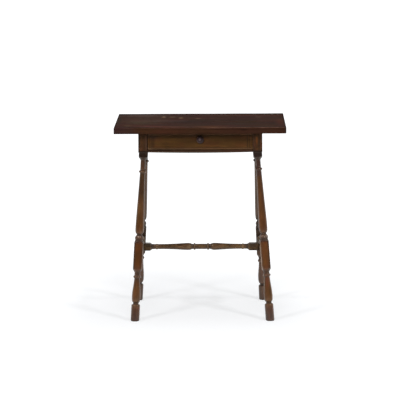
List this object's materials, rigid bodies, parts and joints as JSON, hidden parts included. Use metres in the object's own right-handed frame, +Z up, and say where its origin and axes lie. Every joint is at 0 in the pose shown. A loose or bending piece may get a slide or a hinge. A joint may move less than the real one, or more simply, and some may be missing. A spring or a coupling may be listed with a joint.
{
  "type": "tavern table",
  "caption": "Small joined table with a rectangular two-board top, splayed turned legs, a drawer with a turned knob in the apron and a turned stretcher between the ends.",
  "frame": {"origin": "on the floor, under the middle of the top", "axes": "+Z up, +X to the right as seen from the drawer side, +Y to the back, so the drawer opens towards -Y"},
  "size_m": [0.602, 0.43, 0.69],
  "materials": {
    "top_boards": "old dark red-brown stain, waxed, with rubbed edges and fine scratches",
    "frame": "dark brown stain, waxed, rubbed along the lower edges",
    "legs": "brown stain, rubbed orange-brown on blocks and swellings, dark in the hollows",
    "stretchers": "brown stain worn to an olive brown on top",
    "drawer_front": "dark brown stain, waxed, orange-brown where handled",
    "drawer_lining": "bare wood, aged",
    "runners": "bare wood, aged, rubbed smooth by the drawer",
    "knob": "turned, stained nearly black, polished by hands",
    "pegs": "dark brown stain, end grain",
    "nails": "dark wrought iron, dull"
  },
  "bodies": {
    "table": {"apron_pegs": "pegs", "back_apron": "frame", "back_left_leg": "legs", "back_right_leg": "legs", "cross_stretcher": "stretchers", "frame_nails": "nails", "front_left_leg": "legs", "front_right_leg": "legs", "left_guide": "runners", "left_kicker": "runners", "left_runner": "runners", "left_side_apron": "frame", "left_side_stretcher": "stretchers", "lower_front_rail": "frame", "right_guide": "runners", "right_kicker": "runners", "right_runner": "runners", "right_side_apron": "frame", "right_side_stretcher": "stretchers", "stretcher_pegs": "pegs", "top_back_board": "top_boards", "top_front_board": "top_boards", "top_pegs": "pegs", "upper_front_rail": "frame"},
    "drawer": {"drawer_back": "drawer_lining", "drawer_bottom": "drawer_lining", "drawer_front": "drawer_front", "drawer_knob": "knob", "drawer_left_side": "drawer_lining", "drawer_nails": "nails", "drawer_right_side": "drawer_lining"}
  },
  "joints": [
    {"name": "drawer_slide", "type": "slide", "parent": "table", "child": "drawer", "axis": [0, -1, 0], "range_m": [0, 0.18]}
  ]
}
